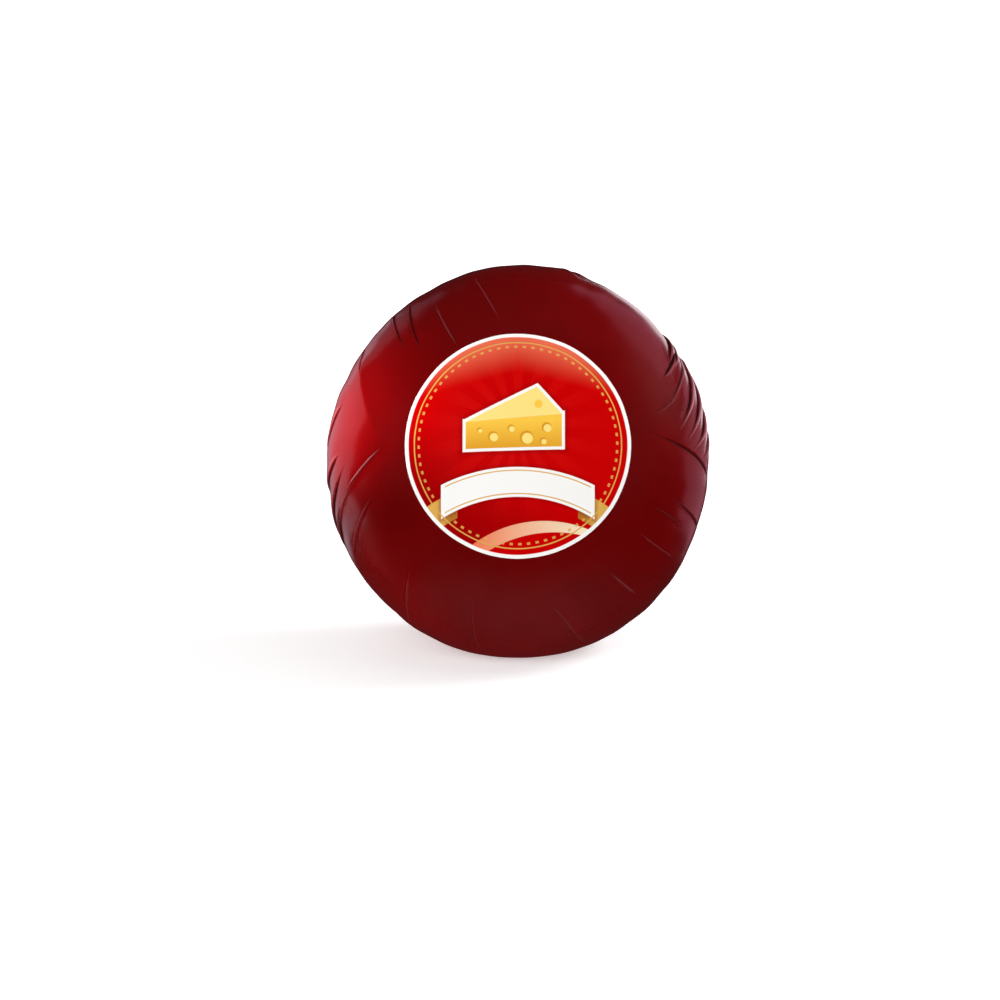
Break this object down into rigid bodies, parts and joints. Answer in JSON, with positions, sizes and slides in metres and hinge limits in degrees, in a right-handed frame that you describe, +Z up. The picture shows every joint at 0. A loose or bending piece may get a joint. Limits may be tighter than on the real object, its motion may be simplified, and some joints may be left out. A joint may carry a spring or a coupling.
{
  "type": "film-wrapped ball of cheese",
  "caption": "Whole ball of cheese wrapped tightly in folded red film, gathered in pleats behind, with a round label on its front and a small flat spot to rest on.",
  "frame": {"origin": "on the floor plane, on the flat spot that the ball rests on, straight below the ball's middle", "axes": "+Z up; -Y towards the viewer, the side that the label faces; the label's own axis leans 14 degrees up from -Y"},
  "size_m": [0.1496, 0.1437, 0.151],
  "materials": {
    "red_film": "clear deep red wrapping film with a soft gloss, thin fold lines and pale bands where it is doubled",
    "printed_paper": "round red label with a white rim and a plain printed design"
  },
  "bodies": {
    "root": {"cheese_ball": "red_film", "label": "printed_paper"}
  },
  "joints": []
}
